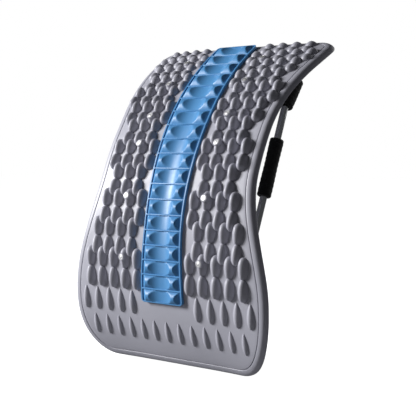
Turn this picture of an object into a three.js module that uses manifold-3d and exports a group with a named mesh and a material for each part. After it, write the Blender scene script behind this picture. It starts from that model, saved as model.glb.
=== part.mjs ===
// Arched lumbar support: a nubbed plastic board, bowed over a tubular steel frame that hooks into
// toothed racks on the board's back. Millimetres, +Z up, nubbed face towards -Y, +X to the right
// as seen from the front. The origin is the middle of the board's flat bottom end face.

import * as THREE from 'three';
import { ConvexGeometry } from 'three/addons/geometries/ConvexGeometry.js';
import { mergeVertices } from 'three/addons/utils/BufferGeometryUtils.js';
import Module from 'manifold-3d';

const wasm = await Module();
wasm.setup();

// ---- driving dimensions -------------------------------------------------------------------------

const GAP = 0.3;                 // between pieces that rest on each other
const RUNNING_GAP = 0.35;        // round the frame tube where it turns or seats

// Side profile of the bowed board, from its bottom edge up: arcs of [length, turn in degrees].
const START_LEAN = -32;
const ARCH = [[40, 15], [40, 11.5], [80, 15], [80, 17.5], [80, 17], [40, 9], [44, 5]];
const ARC_STEP = 16;             // facet length along the profile

const FOOT_HALF_WIDTH = 127;
const WAIST_HALF_WIDTH = 102.5;
const HEAD_HALF_WIDTH = 118.5;
const WAIST_START = 215;         // where the board is down to its waist, along its length
const WAIST_END = 265;
const FOOT_TAPER_START = 80;
// Corners: [reach along the board, reach across it].
const FOOT_CORNER = [75, 44];
const HEAD_CORNER = [18, 18];
// The board's side parts stand back from its flat middle, at the foot end forwards and at the head end back.
const FLAT_HALF = 40;
const CURL_AT = 120;             // distance from the middle line at which a curl is measured
const FOOT_CURL = -6;
const FOOT_CURL_END = 110;
const HEAD_CURL = 14;
const HEAD_CURL_START = 290;

const PLATE = 3;
const RIM_WIDTH = 4.2;
const RIM_DROP = 4;              // fall of the rim's front shoulder
const RIM_WALL = 2.4;
const RIM_DOWN = 3;
const RIM_FILLET = 0.6;          // lean of the rim's inner wall
const SHOULDER = 0.3;            // how far out and down the front shoulder's bend is
const CURL_SHARES = [0, 0.4, 0.75]; // where the curled sides are bent, out from the flat middle

const NUB_PITCH = 16.5;          // across the board
const NUB_SINK = 1;              // depth of a nub's root in the plate
const FOOT_ROW_NUBS = 13;
const FOOT_ROWS = [
  { centre: 43.5, length: 24, width: 7.8, height: 2.5 },
  { centre: 73, length: 26, width: 9.8, height: 3.6 },
];
// Pairs of rows meet at a pinch. The pairs get closer together up the board.
const FIRST_PINCH = 108.5;
const FIRST_PAIR_STEP = 33.5;
const PAIR_STEP_LOSS = 1.6;
const PAIR_COLUMNS = [5, 4, 4, 3, 4, 3, 4, 4, 4, 4, 5, 4];
const NUB_LENGTH_SHARE = 0.66;   // a nub's length over the step of its pair
const NUB_WIDTH = 12.5;
const NUB_HEIGHT = 7.9;
const HEAD_NUB_HEIGHT = 4;
const FOOT_NUB_HEIGHT = 6.2;

const INSERT_START = 75.5;
const INSERT_LENGTH = 322;
const INSERT_CELLS = 19;
const INSERT_EVENNESS = 0.85;    // 1 gives cells of equal length, less gives longer cells at the head
const INSERT_FOOT_HALF = 27;
const INSERT_WAIST_HALF = 24.5;
const INSERT_HEAD_HALF = 26.5;
const INSERT_WAIST_AT = 160;
const INSERT_HEAD_AT = 285;
const INSERT_EDGE = 3.6;         // height of the insert's rim over the board
const INSERT_CREST = 7;
const INSERT_TROUGH = 3;
const INSERT_RIB = 4;
const INSERT_RIB_WIDTH = 2.4;

const INSERT_CLEAR = 1.75;       // between the insert and the nubs beside it
const INSERT_WIDEST = Math.max(INSERT_FOOT_HALF, INSERT_WAIST_HALF, INSERT_HEAD_HALF);
// First nub of an odd pair, from the board's middle line.
const INNER_COLUMN = INSERT_WIDEST + INSERT_CLEAR + NUB_WIDTH / 2;

const MAGNET_RADIUS = 3;
const MAGNET_THICK = 1.6;
const MAGNET_PROUD = 0.5;
const MAGNET_WALL = 1.1;
const MAGNET_COLUMN = INNER_COLUMN + NUB_PITCH;
// [index of the pair, side of the pinch] of the six nubs that carry a magnet on each half
const MAGNET_NUBS = [[0, 1], [2, 1], [4, 1], [6, -1], [8, -1], [10, -1]];

const TUBE_RADIUS = 3.75;
const TUBE_SIDES = 10;
const BEND_RADIUS = 12;
const BEND_STEPS = 5;
const LEG_X = 88;
const PIVOT_AT = 92;             // place of the pivot along the board
const KNEE_TO_BAR = 57.5;        // along the line from bar to pivot
const KNEE_FORWARD = 12.4;       // the knee's distance in front of that line

const PAD = 4;                   // raised pads on the board's back
const BRACKET_X = 62;
const BRACKET_WIDTH = 16;
const BRACKET_WALL = 3;
const BRACKET_FLANGE = 2.5;
const BRACKET_LENGTH = 36;
const BRACKET_SCREW_PITCH = 26;
const CAP_WALL = 1.6;
const CAP_LENGTH = 7;

const RACK_X = 69;
const RACK_WIDTH = 11;
const RACK_FLANGE = 3;
const RACK_SEAT = 4.6;           // from the flange to the bottom of a notch
const RACK_FLANGE_WIDTH = 20;
const RACK_TALL = 31;            // from the board's front face to the tips of the teeth
const NOTCH_PITCH = 14;
const NOTCHES = 3;
const NOTCH_OF_BAR = 2;
const NOTCH_START = 347;         // place of the first notch along the board
const NOTCH_SLANT = 24.5;        // degrees from square to the board, towards the head
const RACK_END = 17;             // flange past the last notch, which takes a screw
const RACK_TOOTH_END = 7.5;

const SCREW_RADIUS = 1.4;
const SCREW_HEAD_RADIUS = 2.9;
const SCREW_HEAD = 1.7;
const SCREW_LENGTH = 7;
const SCREW_FIT = 0.3;

const SLEEVE_WALL = 3.75;
const LOWER_SLEEVE_START = 102;  // along the leg from the pivot
const LOWER_SLEEVE_LENGTH = 63;
const UPPER_SLEEVE_START = 5;    // along the upper leg from the knee
const UPPER_SLEEVE_LENGTH = 36;

// ---- materials ----------------------------------------------------------------------------------

const finish = (color, roughness, metalness) =>
  new THREE.MeshStandardMaterial({ color, roughness, metalness });
const greyPlastic = () => finish(0xb9b9c6, 0.55, 0);
const bluePlastic = () => finish(0x7fb0e4, 0.35, 0);
const blackPlastic = () => finish(0x1c1c1e, 0.5, 0);
const blackFoam = () => finish(0x141415, 0.9, 0);
const chrome = () => finish(0xd8dade, 0.15, 1);
const zinc = () => finish(0xb8bcc2, 0.35, 1);

// ---- solids -------------------------------------------------------------------------------------

function toSolid(geometry) {
  const bare = geometry.index ? geometry.toNonIndexed() : geometry.clone();
  bare.deleteAttribute('normal');
  bare.deleteAttribute('uv');
  const merged = mergeVertices(bare, 1e-4);
  const mesh = new wasm.Mesh({
    numProp: 3,
    vertProperties: new Float32Array(merged.attributes.position.array),
    triVerts: new Uint32Array(merged.index.array),
  });
  return new wasm.Manifold(mesh);
}

function toGeometry(solid) {
  const mesh = solid.getMesh();
  const geometry = new THREE.BufferGeometry();
  geometry.setAttribute('position', new THREE.BufferAttribute(mesh.vertProperties, 3));
  geometry.setIndex(new THREE.BufferAttribute(mesh.triVerts, 1));
  geometry.computeVertexNormals();
  return geometry;
}

const model = new THREE.Group();

function addPiece(name, geometry, material) {
  const mesh = new THREE.Mesh(geometry, material);
  mesh.name = name;
  model.add(mesh);
  return mesh;
}

// ---- the bowed board's own coordinates ----------------------------------------------------------

const BOARD_LENGTH = ARCH.reduce((sum, [length]) => sum + length, 0);

// Place and lean of the front face at a distance along the board.
function onArch(along) {
  let lean = THREE.MathUtils.degToRad(START_LEAN);
  let y = -PLATE / 2 * Math.cos(lean);
  let z = PLATE / 2 * Math.sin(lean);
  let left = along;
  for (const [index, [length, turn]] of ARCH.entries()) {
    const last = index === ARCH.length - 1;
    const run = last ? left : Math.min(left, length);
    const curve = THREE.MathUtils.degToRad(turn) / length;
    const next = lean + curve * run;
    y += (Math.cos(lean) - Math.cos(next)) / curve;
    z += (Math.sin(next) - Math.sin(lean)) / curve;
    lean = next;
    left -= run;
    if (left <= 0) break;
  }
  return { y, z, lean };
}

function smooth(from, to, value) {
  return THREE.MathUtils.smoothstep(value, from, to);
}

// How far back the board stands beside its flat middle.
function curl(along, across) {
  const beside = Math.max(0, Math.abs(across) - FLAT_HALF) / (CURL_AT - FLAT_HALF);
  const foot = FOOT_CURL * (1 - smooth(0, FOOT_CURL_END, along));
  const head = HEAD_CURL * smooth(HEAD_CURL_START, BOARD_LENGTH, along);
  return (foot + head) * beside ** 2;
}

// A point at a distance along the board, across it, and up from its front face.
function onBoard(along, across, up) {
  const { y, z, lean } = onArch(along);
  return new THREE.Vector3(across, y + curl(along, across) - up * Math.cos(lean), z + up * Math.sin(lean));
}

// A frame on the board's back: X across, Y up the board, Z straight out of the front face.
function boardFrame(along, across) {
  const { lean } = onArch(along);
  const matrix = new THREE.Matrix4().makeRotationX(Math.PI / 2 - lean);
  return matrix.setPosition(onBoard(along, across, 0));
}

function halfWidth(along) {
  const foot = (FOOT_HALF_WIDTH - WAIST_HALF_WIDTH) * (1 - smooth(FOOT_TAPER_START, WAIST_START, along));
  const head = (HEAD_HALF_WIDTH - WAIST_HALF_WIDTH) * smooth(WAIST_END, BOARD_LENGTH, along);
  const full = WAIST_HALF_WIDTH + foot + head;
  const corner = ([reach, wide], distance) =>
    distance >= reach ? 0 : wide * (1 - Math.sqrt(1 - (1 - distance / reach) ** 2));
  return full - corner(FOOT_CORNER, along) - corner(HEAD_CORNER, BOARD_LENGTH - along);
}

// Closed body through rings of points, each a counter-clockwise section seen from the board's foot.
// Its ends may be filled region by region, each a list of the ring's points.
function loft(rings, regions) {
  const count = rings[0].length;
  const points = rings.flat();
  const triangles = [];
  const quad = (a, b, c, d) => triangles.push(a, d, c, a, c, b);
  for (let r = 0; r + 1 < rings.length; r += 1) {
    for (let i = 0; i < count; i += 1) {
      const next = (i + 1) % count;
      const base = r * count;
      quad(base + i, base + next, base + count + next, base + count + i);
    }
  }
  const flat = rings[0].section;
  const lastRing = (rings.length - 1) * count;
  for (const region of regions ?? [flat.map((_, i) => i)]) {
    for (const corners of THREE.ShapeUtils.triangulateShape(region.map((i) => flat[i]), [])) {
      const [a, b, c] = corners.map((i) => region[i]);
      triangles.push(a, b, c);
      triangles.push(lastRing + a, lastRing + c, lastRing + b);
    }
  }
  const geometry = new THREE.BufferGeometry().setFromPoints(points);
  geometry.setIndex(triangles);
  return geometry;
}

// One ring of a loft: a section of [across, up] points at a distance along the board.
function boardRing(along, section) {
  const ring = section.map(([across, up]) => onBoard(along, across, up));
  ring.section = section.map(([across, up]) => new THREE.Vector2(across, up));
  return ring;
}

// ---- board --------------------------------------------------------------------------------------

function boardStations() {
  const stations = [];
  const [foot] = FOOT_CORNER;
  const [head] = HEAD_CORNER;
  for (const turn of [15, 32, 50, 70, 90].map(THREE.MathUtils.degToRad)) {
    stations.push(foot * (1 - Math.cos(turn)));
  }
  for (const turn of [25, 50, 75, 90].map(THREE.MathUtils.degToRad)) {
    stations.push(BOARD_LENGTH - head * (1 - Math.cos(turn)));
  }
  const middle = BOARD_LENGTH - foot - head;
  const steps = Math.round(middle / ARC_STEP);
  for (let i = 1; i < steps; i += 1) stations.push(foot + middle * i / steps);
  return [0, ...stations.sort((a, b) => a - b), BOARD_LENGTH];
}

function plateSection(half) {
  const inner = half - RIM_WIDTH;
  const wall = half - RIM_WALL;
  const spread = CURL_SHARES.map((share) => FLAT_HALF + (inner - FLAT_HALF) * share);
  const right = [
    ...spread.map((across) => [across, 0]),
    [inner, 0], [half - RIM_WIDTH * SHOULDER, -RIM_DROP * SHOULDER], [half, -RIM_DROP],
    [half, -PLATE - RIM_DOWN], [wall, -PLATE - RIM_DOWN], [wall - RIM_FILLET, -PLATE],
    ...spread.map((across) => [across, -PLATE]).reverse(),
  ];
  const left = right.map(([across, up]) => [-across, up]).reverse();
  return [...right, ...left].reverse();
}

// The plate's ends stay flat between its two curled sides.
function plate() {
  const rings = boardStations().map((along) => boardRing(along, plateSection(halfWidth(along))));
  const count = rings[0].length;
  const left = Array.from({ length: count / 2 }, (_, i) => i);
  const right = left.map((i) => i + count / 2);
  return toSolid(loft(rings, [left, right, [0, left.length - 1, right[0], count - 1]]));
}

// A nub's root is six-sided. Its crest runs from near its narrow end to near its blunt one.
function nub(start, length, across, width, height) {
  const outline = [[0, 0], [0.48, 0.5], [0.86, 0.38], [1, 0], [0.86, -0.38], [0.48, -0.5]];
  const points = outline.map(([t, v]) => onBoard(start + length * t, across + width * v, -NUB_SINK));
  points.push(onBoard(start + length * 0.34, across, height * 0.85));
  points.push(onBoard(start + length * 0.78, across, height));
  return toSolid(new ConvexGeometry(points));
}

function pairs() {
  let pinch = FIRST_PINCH;
  return PAIR_COLUMNS.map((columns, index) => {
    const step = FIRST_PAIR_STEP - PAIR_STEP_LOSS * index;
    const pair = {
      pinch,
      columns,
      length: step * NUB_LENGTH_SHARE,
      first: INNER_COLUMN + (index % 2 ? NUB_PITCH / 2 : 0),
      height: pairHeight(pinch),
    };
    pinch += step;
    return pair;
  });
}

function pairHeight(along) {
  const rise = FOOT_NUB_HEIGHT + (NUB_HEIGHT - FOOT_NUB_HEIGHT) * smooth(FIRST_PINCH, WAIST_START, along);
  const fall = (NUB_HEIGHT - HEAD_NUB_HEIGHT) * smooth(WAIST_END, BOARD_LENGTH, along);
  return rise - fall;
}

function allNubs() {
  const solids = [];
  const [low, second] = FOOT_ROWS;
  for (let i = 0; i < FOOT_ROW_NUBS; i += 1) {
    const across = (i - (FOOT_ROW_NUBS - 1) / 2) * NUB_PITCH;
    solids.push(nub(low.centre + low.length / 2, -low.length, across, low.width, low.height));
  }
  for (const side of [-1, 1]) {
    for (let i = 0; i < PAIR_COLUMNS[0]; i += 1) {
      const across = side * (INNER_COLUMN + NUB_PITCH / 2 + i * NUB_PITCH);
      solids.push(nub(second.centre + second.length / 2, -second.length, across, second.width, second.height));
    }
    for (const pair of pairs()) {
      for (let i = 0; i < pair.columns; i += 1) {
        const across = side * (pair.first + i * NUB_PITCH);
        solids.push(nub(pair.pinch, pair.length, across, NUB_WIDTH, pair.height));
        solids.push(nub(pair.pinch, -pair.length, across, NUB_WIDTH, pair.height));
      }
    }
  }
  return solids;
}

// Disc across the board's face: a round of given radius between two heights.
function roundOnBoard(along, across, radius, from, to, sides) {
  const geometry = new THREE.CylinderGeometry(radius, radius, to - from, sides);
  geometry.rotateX(Math.PI / 2);
  geometry.translate(0, 0, (from + to) / 2);
  return geometry.applyMatrix4(boardFrame(along, across));
}

function magnetSeats() {
  const rows = pairs();
  return MAGNET_NUBS.map(([index, end]) => {
    const pair = rows[index];
    return { along: pair.pinch + end * pair.length * 0.55, floor: pair.height - MAGNET_THICK + MAGNET_PROUD };
  });
}

// Box square to the board: across, along and between two depths behind the front face.
function boxOnBoard(along, across, width, length, from, to) {
  const geometry = new THREE.BoxGeometry(width, length, to - from);
  geometry.translate(0, 0, -(from + to) / 2);
  return geometry.applyMatrix4(boardFrame(along, across));
}

// Pad with a flat back face, rooted all over in the middle of the bowed plate.
function pad(along, across, width, length) {
  const points = [];
  for (const v of [-0.5, -0.25, 0, 0.25, 0.5]) {
    for (const u of [-0.5, 0, 0.5]) {
      points.push(onBoard(along + v * length, across + u * width, -PAD_ROOT));
      const flat = new THREE.Vector3(u * width, v * length, -PAD_FACE);
      points.push(flat.applyMatrix4(boardFrame(along, across)));
    }
  }
  return toSolid(new ConvexGeometry(points));
}

const RACK_FIRST = NOTCH_START - RACK_END;
const RACK_LAST = NOTCH_START + (NOTCHES - 1) * NOTCH_PITCH + RACK_END;
const RACK_MIDDLE = (RACK_FIRST + RACK_LAST) / 2;
const RACK_LENGTH = RACK_LAST - RACK_FIRST;
const PAD_FACE = PLATE + PAD;
const PAD_ROOT = PLATE / 2;
const PIVOT_DEPTH = PAD_FACE + GAP + TUBE_RADIUS + RUNNING_GAP + BRACKET_WALL;
const BAR_DEPTH = PAD_FACE + GAP + RACK_FLANGE + RACK_SEAT + TUBE_RADIUS + RUNNING_GAP;
const SCREW_END = 4;             // distance of a screw from its flange's end

function fixings() {
  const bracket = BRACKET_SCREW_PITCH / 2;
  const rack = RACK_LENGTH / 2 - SCREW_END;
  return [
    { name: 'bracket_screw', along: PIVOT_AT, offset: bracket, across: BRACKET_X, flange: BRACKET_FLANGE },
    { name: 'rack_screw', along: RACK_MIDDLE, offset: rack, across: RACK_X, flange: RACK_FLANGE },
  ];
}

// Round square to a flange: offset along it from its middle, between two depths.
function roundOnFlange(fixing, side, end, radius, from, to, sides) {
  const geometry = new THREE.CylinderGeometry(radius, radius, to - from, sides);
  geometry.rotateX(Math.PI / 2);
  geometry.translate(0, end * fixing.offset, -(from + to) / 2);
  return geometry.applyMatrix4(boardFrame(fixing.along, side * fixing.across));
}

function board() {
  const bosses = [];
  const cuts = [];
  for (const side of [-1, 1]) {
    for (const seat of magnetSeats()) {
      const across = side * MAGNET_COLUMN;
      const wall = MAGNET_RADIUS + MAGNET_WALL;
      const top = seat.floor + MAGNET_THICK - MAGNET_PROUD;
      bosses.push(toSolid(roundOnBoard(seat.along, across, wall, 0.5, top, 12)));
      cuts.push(toSolid(roundOnBoard(seat.along, across, MAGNET_RADIUS + GAP, seat.floor, top + 4, 12)));
    }
    const bracketPad = BRACKET_LENGTH + 4;
    const bracketPadWidth = BRACKET_WIDTH + 4;
    const rackPad = RACK_LENGTH + 4;
    const rackPadWidth = RACK_FLANGE_WIDTH + 4;
    bosses.push(pad(PIVOT_AT, side * BRACKET_X, bracketPadWidth, bracketPad));
    bosses.push(pad(RACK_MIDDLE, side * RACK_X, rackPadWidth, rackPad));
    for (const fixing of fixings()) {
      for (const end of [-1, 1]) {
        const depth = PAD_FACE + GAP + fixing.flange;
        const bottom = depth - SCREW_LENGTH - GAP;
        cuts.push(toSolid(roundOnFlange(fixing, side, end, SCREW_RADIUS + SCREW_FIT, bottom, depth, 8)));
      }
    }
  }
  const body = wasm.Manifold.union([plate(), ...allNubs(), ...bosses]);
  return body.subtract(wasm.Manifold.union(cuts));
}

// ---- spine insert -------------------------------------------------------------------------------

function insertHalf(along) {
  const foot = (INSERT_FOOT_HALF - INSERT_WAIST_HALF) * (1 - smooth(INSERT_START, INSERT_WAIST_AT, along));
  const head = (INSERT_HEAD_HALF - INSERT_WAIST_HALF) * smooth(INSERT_WAIST_AT, INSERT_HEAD_AT, along);
  return INSERT_WAIST_HALF + foot + head;
}

function cellEdge(index) {
  const t = index / INSERT_CELLS;
  return INSERT_START + INSERT_LENGTH * (INSERT_EVENNESS * t + (1 - INSERT_EVENNESS) * t * t);
}

function insertSection(half, crest, trough) {
  const right = [[0.65, crest], [1, INSERT_EDGE], [1, GAP]];
  const points = [[0, trough], ...right];
  const left = right.map(([across, up]) => [-across, up]).reverse();
  return [...points, ...left].map(([across, up]) => [across * half, up]).reverse();
}

function spineInsert() {
  const rings = [];
  const ring = (along, crest, trough) =>
    rings.push(boardRing(along, insertSection(insertHalf(along), crest, trough)));
  ring(INSERT_START, INSERT_EDGE + 0.1, INSERT_EDGE);
  for (let cell = 0; cell < INSERT_CELLS; cell += 1) {
    const from = cellEdge(cell) + INSERT_RIB_WIDTH / 2;
    const to = cellEdge(cell + 1) - INSERT_RIB_WIDTH / 2;
    const rise = (to - from) * 0.2;
    ring(from, INSERT_RIB, INSERT_TROUGH + 0.2);
    ring(from + rise, INSERT_CREST, INSERT_TROUGH);
    ring(to - rise, INSERT_CREST, INSERT_TROUGH);
    ring(to, INSERT_RIB, INSERT_TROUGH + 0.2);
  }
  ring(INSERT_START + INSERT_LENGTH, INSERT_EDGE + 0.1, INSERT_EDGE);
  return loft(rings);
}

// ---- frame --------------------------------------------------------------------------------------

const BAR_AT = NOTCH_START + NOTCH_OF_BAR * NOTCH_PITCH;

function framePoints() {
  // The bar's place is worked out in the rack's own flat frame, so that it sits in its notch.
  const rack = boardFrame(RACK_MIDDLE, RACK_X);
  const bracket = boardFrame(PIVOT_AT, BRACKET_X);
  const bar = new THREE.Vector3(0, BAR_AT - RACK_MIDDLE, -BAR_DEPTH).applyMatrix4(rack).setX(0);
  const pivot = new THREE.Vector3(0, 0, -PIVOT_DEPTH).applyMatrix4(bracket).setX(0);
  const down = pivot.clone().sub(bar).normalize();
  const forward = new THREE.Vector3(0, down.z, -down.y);
  const knee = bar.clone().addScaledVector(down, KNEE_TO_BAR).addScaledVector(forward, KNEE_FORWARD);
  return { bar, pivot, knee };
}

const { bar: BAR, pivot: PIVOT, knee: KNEE } = framePoints();
const STUB_END = BRACKET_X - BRACKET_WIDTH / 2 - CAP_LENGTH - 0.8;

// Route through corner points, each corner rounded to the bend radius.
function roundedRoute(corners, radius) {
  const route = [corners[0]];
  for (let i = 1; i + 1 < corners.length; i += 1) {
    const back = corners[i - 1].clone().sub(corners[i]).normalize();
    const on = corners[i + 1].clone().sub(corners[i]).normalize();
    const half = back.angleTo(on) / 2;
    const reach = radius / Math.tan(half);
    const centre = corners[i].clone()
      .addScaledVector(back.clone().add(on).normalize(), radius / Math.sin(half));
    const first = corners[i].clone().addScaledVector(back, reach).sub(centre);
    const axis = first.clone().cross(corners[i].clone().addScaledVector(on, reach).sub(centre)).normalize();
    const sweep = Math.PI - 2 * half;
    const steps = Math.max(2, Math.round(BEND_STEPS * sweep / (Math.PI / 2)));
    for (let k = 0; k <= steps; k += 1) {
      route.push(first.clone().applyAxisAngle(axis, sweep * k / steps).add(centre));
    }
  }
  route.push(corners[corners.length - 1]);
  return route;
}

// A curve through listed points that steps from point to point, however far apart they are.
class PointRoute extends THREE.Curve {
  constructor(points) {
    super();
    this.points = points;
  }

  getPoint(t, target = new THREE.Vector3()) {
    const place = t * (this.points.length - 1);
    const index = Math.min(Math.floor(place), this.points.length - 2);
    return target.lerpVectors(this.points[index], this.points[index + 1], place - index);
  }

  getPointAt(t, target) {
    return this.getPoint(t, target);
  }

  getTangent(t, target = new THREE.Vector3()) {
    const last = this.points.length - 1;
    const index = Math.round(t * last);
    const before = this.points[Math.max(index - 1, 0)];
    const here = this.points[index];
    const after = this.points[Math.min(index + 1, last)];
    const coming = here.clone().sub(before).normalize();
    const going = after.clone().sub(here).normalize();
    return target.copy(coming).add(going).normalize();
  }

  getTangentAt(t, target) {
    return this.getTangent(t, target);
  }
}

function circle(radius, sides) {
  const points = [];
  for (let i = 0; i < sides; i += 1) {
    const turn = 2 * Math.PI * i / sides;
    points.push(new THREE.Vector2(radius * Math.cos(turn), radius * Math.sin(turn)));
  }
  return points;
}

function frameTube() {
  const at = (point, across) => new THREE.Vector3(across, point.y, point.z);
  const left = [at(PIVOT, -STUB_END), at(PIVOT, -LEG_X), at(KNEE, -LEG_X), at(BAR, -LEG_X)];
  const right = left.map((point) => new THREE.Vector3(-point.x, point.y, point.z)).reverse();
  const route = roundedRoute([...left, ...right], BEND_RADIUS);
  return new THREE.ExtrudeGeometry(new THREE.Shape(circle(TUBE_RADIUS, TUBE_SIDES)), {
    steps: route.length - 1,
    extrudePath: new PointRoute(route),
  });
}

// Foam sleeve on a straight stretch of leg, from one point towards another.
function sleeve(side, from, to, start, length) {
  const along = to.clone().sub(from).normalize();
  const begin = from.clone().addScaledVector(along, start);
  const ring = new THREE.Shape(circle(TUBE_RADIUS + SLEEVE_WALL, 12));
  ring.holes.push(new THREE.Path(circle(TUBE_RADIUS + GAP, 12)));
  const geometry = new THREE.ExtrudeGeometry(ring, { depth: length, bevelEnabled: false });
  const turn = new THREE.Quaternion().setFromUnitVectors(new THREE.Vector3(0, 0, 1), along);
  geometry.applyQuaternion(turn);
  return geometry.translate(side * LEG_X, begin.y, begin.z);
}

// ---- pivot brackets, caps and racks -------------------------------------------------------------

function roundAlongX(radius, length, sides) {
  return new THREE.CylinderGeometry(radius, radius, length, sides).rotateZ(Math.PI / 2);
}

function pivotBracket(side) {
  const centre = new THREE.Vector3(side * BRACKET_X, PIVOT.y, PIVOT.z);
  const bore = TUBE_RADIUS + RUNNING_GAP;
  const outer = bore + BRACKET_WALL;
  const base = PAD_FACE + GAP;
  const x = side * BRACKET_X;
  const flange = boxOnBoard(PIVOT_AT, x, BRACKET_WIDTH, BRACKET_LENGTH, base, base + BRACKET_FLANGE);
  const block = boxOnBoard(PIVOT_AT, x, BRACKET_WIDTH, 2 * outer, base, PIVOT_DEPTH);
  const eye = roundAlongX(outer, BRACKET_WIDTH, 16).translate(...centre.toArray());
  const hole = roundAlongX(bore / Math.cos(Math.PI / 16), BRACKET_WIDTH + 4, 16).translate(...centre.toArray());
  let solid = toSolid(flange).add(toSolid(block)).add(toSolid(eye)).subtract(toSolid(hole));
  const fixing = fixings()[0];
  for (const end of [-1, 1]) {
    const cut = roundOnFlange(fixing, side, end, SCREW_RADIUS + SCREW_FIT, base - 1, base + BRACKET_FLANGE + 1, 8);
    solid = solid.subtract(toSolid(cut));
  }
  return toGeometry(solid);
}

// Push-on cap over the end of the tube's stub.
function tubeCap(side) {
  const inner = TUBE_RADIUS + GAP;
  const outer = inner + CAP_WALL;
  const profile = [
    [0, -CAP_WALL - GAP], [outer, -CAP_WALL - GAP], [outer, CAP_LENGTH], [inner, CAP_LENGTH], [inner, -GAP], [0, -GAP],
  ];
  const geometry = new THREE.LatheGeometry(profile.map(([r, h]) => new THREE.Vector2(r, h)), 12);
  geometry.rotateZ(-side * Math.PI / 2);
  return geometry.translate(side * STUB_END, PIVOT.y, PIVOT.z);
}

// Comb outline in the rack's flat frame: along the board, and depth behind its front face.
function combOutline() {
  const slant = THREE.MathUtils.degToRad(NOTCH_SLANT);
  const out = new THREE.Vector2(Math.sin(slant), Math.cos(slant));
  const side = new THREE.Vector2(out.y, -out.x);
  const radius = TUBE_RADIUS + RUNNING_GAP;
  const base = PAD_FACE + GAP;
  const points = [];
  const first = NOTCH_START - RACK_MIDDLE;
  const lean = (RACK_TALL - BAR_DEPTH) * Math.tan(slant);
  points.push(new THREE.Vector2(first - RACK_TOOTH_END, base));
  points.push(new THREE.Vector2(first - RACK_TOOTH_END + lean * 0.6, RACK_TALL));
  for (let notch = 0; notch < NOTCHES; notch += 1) {
    const seat = new THREE.Vector2(first + notch * NOTCH_PITCH, BAR_DEPTH);
    const mouth = (sign) => {
      const edge = seat.clone().addScaledVector(side, sign * radius);
      return edge.addScaledVector(out, (RACK_TALL - edge.y) / out.y);
    };
    points.push(mouth(-1));
    for (let k = 0; k <= 6; k += 1) {
      const turn = Math.PI * k / 6;
      const round = radius / Math.cos(Math.PI / 12);
      const reach = k === 0 || k === 6 ? radius : round;
      points.push(seat.clone()
        .addScaledVector(side, -Math.cos(turn) * reach)
        .addScaledVector(out, -Math.sin(turn) * reach));
    }
    points.push(mouth(1));
  }
  const last = first + (NOTCHES - 1) * NOTCH_PITCH;
  points.push(new THREE.Vector2(last + RACK_TOOTH_END + lean, RACK_TALL));
  points.push(new THREE.Vector2(last + RACK_TOOTH_END, base));
  return points;
}

function notchRack(side) {
  const base = PAD_FACE + GAP;
  const x = side * RACK_X;
  const comb = new THREE.ExtrudeGeometry(new THREE.Shape(combOutline()), {
    depth: RACK_WIDTH,
    bevelEnabled: false,
  });
  comb.translate(0, 0, -RACK_WIDTH / 2);
  // The outline's axes become the board's length and the depth behind it, and its normal the width.
  const turn = new THREE.Matrix4().makeBasis(
    new THREE.Vector3(0, 1, 0), new THREE.Vector3(0, 0, -1), new THREE.Vector3(-1, 0, 0));
  comb.applyMatrix4(turn).applyMatrix4(boardFrame(RACK_MIDDLE, x));
  const flange = boxOnBoard(RACK_MIDDLE, x, RACK_FLANGE_WIDTH, RACK_LENGTH, base, base + RACK_FLANGE);
  let solid = toSolid(comb).add(toSolid(flange));
  const fixing = fixings()[1];
  for (const end of [-1, 1]) {
    const cut = roundOnFlange(fixing, side, end, SCREW_RADIUS + SCREW_FIT, base - 1, base + RACK_FLANGE + 1, 8);
    solid = solid.subtract(toSolid(cut));
  }
  return toGeometry(solid);
}

function screw(fixing, side, end) {
  const seat = PAD_FACE + GAP + fixing.flange + GAP;
  const profile = [
    [0, 0], [SCREW_RADIUS, 0], [SCREW_RADIUS, SCREW_LENGTH], [SCREW_HEAD_RADIUS, SCREW_LENGTH],
    [SCREW_HEAD_RADIUS * 0.8, SCREW_LENGTH + SCREW_HEAD], [0, SCREW_LENGTH + SCREW_HEAD],
  ];
  const geometry = new THREE.LatheGeometry(profile.map(([r, h]) => new THREE.Vector2(r, h)), 8);
  geometry.rotateX(-Math.PI / 2);
  geometry.translate(0, end * fixing.offset, -(seat - SCREW_LENGTH));
  return geometry.applyMatrix4(boardFrame(fixing.along, side * fixing.across));
}

// ---- the assembly -------------------------------------------------------------------------------

addPiece('board_panel', toGeometry(board()), greyPlastic());
addPiece('spine_insert', spineInsert(), bluePlastic());
addPiece('frame_tube', frameTube(), chrome());

for (const [side, word] of [[-1, 'left'], [1, 'right']]) {
  magnetSeats().forEach((seat, index) => {
    const from = seat.floor + GAP;
    const disc = roundOnBoard(seat.along, side * MAGNET_COLUMN, MAGNET_RADIUS, from, from + MAGNET_THICK, 12);
    addPiece(`magnet_${word}_${index + 1}`, disc, zinc());
  });
  addPiece(`foam_sleeve_lower_${word}`,
    sleeve(side, PIVOT, KNEE, LOWER_SLEEVE_START, LOWER_SLEEVE_LENGTH), blackFoam());
  addPiece(`foam_sleeve_upper_${word}`,
    sleeve(side, KNEE, BAR, UPPER_SLEEVE_START, UPPER_SLEEVE_LENGTH), blackFoam());
  addPiece(`pivot_bracket_${word}`, pivotBracket(side), blackPlastic());
  addPiece(`tube_cap_${word}`, tubeCap(side), blackPlastic());
  addPiece(`notch_rack_${word}`, notchRack(side), blackPlastic());
  for (const fixing of fixings()) {
    [-1, 1].forEach((end, index) => {
      addPiece(`${fixing.name}_${word}_${index + 1}`, screw(fixing, side, end), zinc());
    });
  }
}

export default model;
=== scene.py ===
"""Looks for the arched lumbar support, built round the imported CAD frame. Metres, +Z up."""
import math

import bmesh
import bpy
from mathutils import Matrix, Vector


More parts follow.
